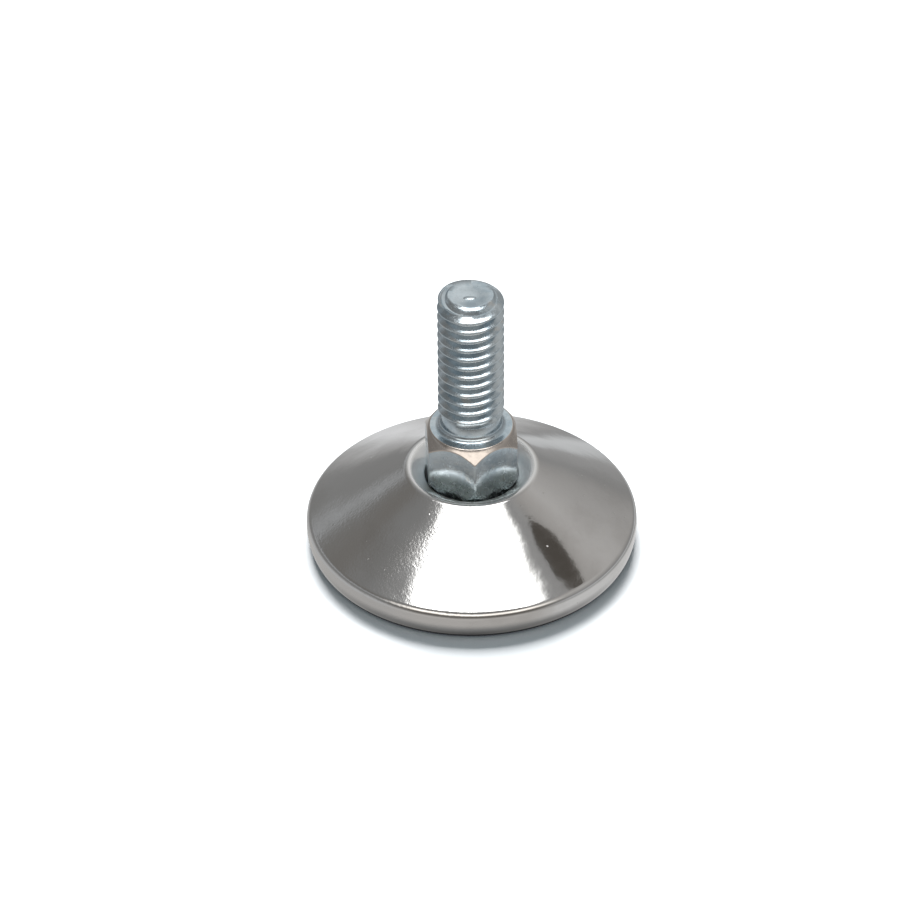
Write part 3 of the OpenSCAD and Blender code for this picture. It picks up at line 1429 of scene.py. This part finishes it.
@dataclass
class Washers:
    """The two ball-faced washers under the bowl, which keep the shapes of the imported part."""

    glide: str = "glide_washer"
    keeper: str = "keeper_washer"

    def make(self) -> list[bpy.types.Object]:
        """Dresses both washers.

        Returns:
            The nylon washer and the steel washer.
        """
        glide, keeper = frame["nodes"][self.glide], frame["nodes"][self.keeper]
        NaturalNylon().dress(glide)
        WasherSteel().dress(keeper)
        return [glide, keeper]


# ---------------------------------------------------------------------------------------------
# Studio
# ---------------------------------------------------------------------------------------------


@dataclass(frozen=True)
class Glow:
    """A soft patch of the surroundings, by compass direction, height and width in degrees."""

    turn: float
    height: float
    width: float
    light: Colour

    def share(self, graph: Graph, way: Wire) -> Wire:
        """Returns how much of the patch a direction sees.

        Args:
            graph: The world's node tree.
            way: The direction.

        Returns:
            The share, 1 in the middle of the patch.
        """
        sharp = 1.0 / (1.0 - math.cos(math.radians(self.width)))
        return ((graph.dot(way, towards(self.turn, self.height)) - 1.0) * sharp).exp()


@dataclass(frozen=True)
class Side:
    """How bright one side of the room is from straight down to straight up."""

    stops: Tuple[Tuple[float, Colour], ...]

    def ramp(self) -> Tuple[Tuple[float, Colour], ...]:
        """Returns the stops with heights in degrees turned into places from 0 to 1."""
        return tuple((height / 180.0 + 0.5, colour) for height, colour in self.stops)


def grey(level: float, warm: float = 0.0) -> Colour:
    """Returns a grey light, with some warmth or, if negative, some blue."""
    return (level * (1.0 + warm), level, level * (1.0 - warm))


LEFT_SIDE = Side(
    (
        (-90.0, grey(0.10)),
        (-62.0, grey(0.26)),
        (-40.0, grey(0.55, 0.02)),
        (-20.0, grey(0.62, -0.02)),
        (-6.0, grey(0.50)),
        (1.0, grey(0.30)),
        (12.0, grey(0.29)),
        (18.0, grey(0.28)),
        (22.0, grey(0.48, -0.03)),
        (25.0, grey(0.46, -0.03)),
        (29.0, grey(0.26)),
        (33.0, grey(0.23, 0.03)),
        (41.0, grey(0.21, 0.05)),
        (50.0, grey(0.27)),
        (58.0, grey(0.28)),
        (65.0, grey(0.40)),
        (90.0, grey(0.70)),
    )
)

RIGHT_SIDE = Side(
    (
        (-90.0, grey(0.10)),
        (-62.0, grey(0.30)),
        (-40.0, grey(0.78)),
        (-24.0, grey(0.60)),
        (-16.0, grey(0.32)),
        (-11.0, grey(0.74, -0.02)),
        (-6.0, grey(0.66, -0.02)),
        (-3.0, grey(0.42)),
        (8.0, grey(0.34)),
        (16.0, grey(0.42, 0.02)),
        (31.0, grey(0.52, 0.02)),
        (40.0, grey(0.58, 0.02)),
        (47.0, grey(0.50, 0.03)),
        (53.0, grey(0.44, 0.03)),
        (58.0, grey(0.40)),
        (62.0, grey(0.34)),
        (66.0, grey(0.42)),
        (90.0, grey(0.70)),
    )
)

FRONT_SIDE = Side(
    (
        (-90.0, grey(0.10)),
        (-62.0, grey(0.30)),
        (-40.0, grey(0.58, 0.03)),
        (-24.0, grey(0.64, 0.03)),
        (-12.0, grey(0.40, 0.05)),
        (-4.0, grey(0.20, 0.05)),
        (10.0, grey(0.16, 0.08)),
        (17.0, grey(0.30, 0.10)),
        (25.0, grey(1.7, 0.05)),
        (36.0, grey(2.1, 0.04)),
        (44.0, grey(0.50, 0.05)),
        (52.0, grey(0.22, 0.03)),
        (66.0, grey(0.30)),
        (90.0, grey(0.70)),
    )
)


@dataclass
class Studio:
    """Plain pale floor, soft light from above, a soft grey room for the metal and the camera.

    The soft box overhead is given by how far it reaches to each side per metre of height.
    """

    floor_size: float = 6.0
    floor_tint: Colour = (0.86, 0.875, 0.885)
    lamp_place: Place = (-0.03, 0.34, 0.50)
    lamp_size: Point = (0.34, 0.26)
    lamp_power: float = 7.4
    fill: Colour = (0.21, 0.255, 0.28)
    side_change: Point = (-0.30, 0.12)
    front_change: Point = (-0.38, -0.86)
    box_light: Colour = (5.0, 5.0, 5.0)
    box_left: Point = (-0.45, -0.29)
    box_right: Point = (0.37, 0.51)
    box_front: Point = (-0.36, -0.24)
    box_back: Point = (0.12, 0.26)
    box_rise: Point = (0.3, 0.5)
    box_lowest: float = 0.05
    glows: Tuple[Glow, ...] = (
        Glow(90.0, 41.0, 19.0, (0.36, 0.38, 0.39)),
        Glow(98.0, -17.0, 6.0, (0.36, 0.36, 0.37)),
        Glow(12.0, 12.0, 13.0, (-0.20, -0.22, -0.23)),
        Glow(168.0, 12.0, 13.0, (-0.15, -0.17, -0.18)),
    )
    card_turn: float = 13.0
    card_height: float = 55.0
    card_distance: float = 60.0 * MM
    card_seen_from: Place = (12.3 * MM, -14.6 * MM, 7.1 * MM)
    card_radius: float = 7.5 * MM
    card_tone: Colour = grey(0.085, 0.12)
    distance: float = 0.8904
    elevation: float = 37.65
    roll: float = 0.46
    target: Place = (-0.00304, 0.0, 0.01562)
    lens: float = 250.1
    sensor: float = 36.0
    nearest: float = 0.05
    farthest: float = 20.0

    def floor(self) -> bpy.types.Object:
        """Adds the floor, which isn't part of the object.

        Returns:
            The floor.
        """
        Bench.clear()
        bpy.ops.mesh.primitive_plane_add(size=self.floor_size, location=(0.0, 0.0, 0.0))
        floor = bpy.context.active_object
        floor.name = "studio_floor"
        floor.visible_glossy = False
        made, graph = new_material("pale_floor")
        graph.finish(graph.node("ShaderNodeBsdfDiffuse", None, {"Color": (*self.floor_tint, 1.0)}))
        floor.data.materials.append(made)
        return floor

    def dark_card(self) -> bpy.types.Object:
        """Adds a small dark card beside the object, which only mirror-bright faces show.

        Returns:
            The card.
        """
        way = Vector(towards(self.card_turn, self.card_height))
        Bench.clear()
        bpy.ops.mesh.primitive_circle_add(
            vertices=64,
            radius=self.card_radius,
            fill_type="NGON",
            location=Vector(self.card_seen_from) + way * self.card_distance,
            rotation=way.to_track_quat("Z", "Y").to_euler(),
        )
        card = bpy.context.active_object
        card.name = "dark_card"
        card.visible_camera = False
        card.visible_diffuse = False
        card.visible_shadow = False
        card.visible_transmission = False
        made, graph = new_material("dark_card")
        graph.finish(graph.node("ShaderNodeEmission", None, {"Color": (*self.card_tone, 1.0)}))
        card.data.materials.append(made)
        return card

    def lamp(self) -> bpy.types.Object:
        """Adds the lamp that lights the floor and casts the soft shadow.

        Returns:
            The lamp.
        """
        Bench.clear()
        way = Vector(self.lamp_place).to_track_quat("Z", "Y").to_euler()
        bpy.ops.object.light_add(type="AREA", location=self.lamp_place, rotation=way)
        lamp = bpy.context.active_object
        lamp.name = "overhead_lamp"
        lamp.visible_glossy = False
        lamp.data.shape = "RECTANGLE"
        lamp.data.size, lamp.data.size_y = self.lamp_size
        lamp.data.energy = self.lamp_power
        return lamp

    def soft_box(self, graph: Graph, parts: Sequence[Wire]) -> Wire:
        """Returns how much of the soft box overhead a direction sees.

        Args:
            graph: The world's node tree.
            parts: X, Y and Z of the direction.

        Returns:
            The share, 1 in the middle of the box.
        """
        x, y, z = parts
        up = z.most(self.box_lowest)
        across, along = x / up, y / up
        inside = graph.ramp(across, *self.box_left) * graph.ramp(across, *self.box_right, 1.0, 0.0)
        inside = inside * graph.ramp(along, *self.box_front)
        inside = inside * graph.ramp(along, *self.box_back, 1.0, 0.0)
        return inside * graph.ramp(z, *self.box_rise)

    def room(self, graph: Graph) -> Wire:
        """Returns the light of the room that metal mirrors, by direction.

        Args:
            graph: The world's node tree.

        Returns:
            The colour of the light that comes from each direction.
        """
        way = graph.wire("ShaderNodeTexCoord", "Generated")
        x, y, z = graph.parts(way)
        level = (x * x + y * y + 1e-6).root()
        height = z.least(1.0).most(-1.0).arcsine() / math.pi + 0.5
        left = graph.ladder(height, LEFT_SIDE.ramp())
        right = graph.ladder(height, RIGHT_SIDE.ramp())
        front = graph.ladder(height, FRONT_SIDE.ramp())
        colour = graph.mix(graph.ramp(x / level, *self.side_change), left, right)
        colour = graph.mix(graph.ramp(y / level, *self.front_change), colour, front)
        for glow in self.glows:
            colour = graph.add(colour, graph.mix(glow.share(graph, way), (0.0, 0.0, 0.0), glow.light))
        return graph.mix(self.soft_box(graph, (x, y, z)), colour, self.box_light)

    def surroundings(self) -> None:
        """Makes the room: pale for the camera, an even fill for matt faces, the room for metal."""
        world = bpy.data.worlds.new("studio")
        bpy.context.scene.world = world
        world.use_nodes = True
        graph = Graph(world.node_tree)
        path = graph.node("ShaderNodeLightPath")
        seen = Wire(graph, path.outputs["Is Camera Ray"])
        spread = Wire(graph, path.outputs["Is Diffuse Ray"])
        colour = graph.mix(spread, self.room(graph), self.fill)
        colour = graph.mix(seen, colour, (1.0, 1.0, 1.0))
        back = graph.node("ShaderNodeBackground", None, {"Color": colour})
        graph.finish(back, "ShaderNodeOutputWorld")

    def camera(self) -> bpy.types.Object:
        """Adds the camera and makes it the scene's own.

        Returns:
            The camera.
        """
        e, roll = math.radians(self.elevation), math.radians(self.roll)
        back = Vector((0.0, -math.cos(e), math.sin(e)))
        level = Vector((1.0, 0.0, 0.0))
        upright = Vector((0.0, math.sin(e), math.cos(e)))
        side = level * math.cos(roll) - upright * math.sin(roll)
        up = level * math.sin(roll) + upright * math.cos(roll)
        turn = Matrix((side, up, back)).transposed()
        Bench.clear()
        bpy.ops.object.camera_add(
            location=Vector(self.target) + back * self.distance, rotation=turn.to_euler()
        )
        camera = bpy.context.active_object
        camera.data.sensor_width = self.sensor
        camera.data.lens = self.lens
        camera.data.clip_start = self.nearest
        camera.data.clip_end = self.farthest
        bpy.context.scene.camera = camera
        return camera

    def make(self) -> None:
        """Sets up the whole studio."""
        self.floor()
        self.dark_card()
        self.lamp()
        self.surroundings()
        self.camera()
        bpy.context.scene.view_settings.view_transform = "Standard"


def main() -> None:
    """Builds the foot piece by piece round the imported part, then the studio."""
    logging.basicConfig(level=logging.INFO, format="%(name)s: %(message)s")
    stud_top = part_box("threaded_stud")[1].z
    ball_z = swivel_height()
    pieces = [
        BaseShell(ball_z=ball_z).make(),
        BasePad(ball_z=ball_z).make(),
        ThreadedStud(top=stud_top, ball_z=ball_z).make(),
    ]
    for piece in pieces:
        Bench.report(piece)
    for washer in Washers().make():
        log.info("%s: finish %s", washer.name, washer.data.materials[0].name)
    Studio().make()


if __name__ == "__main__":
    main()
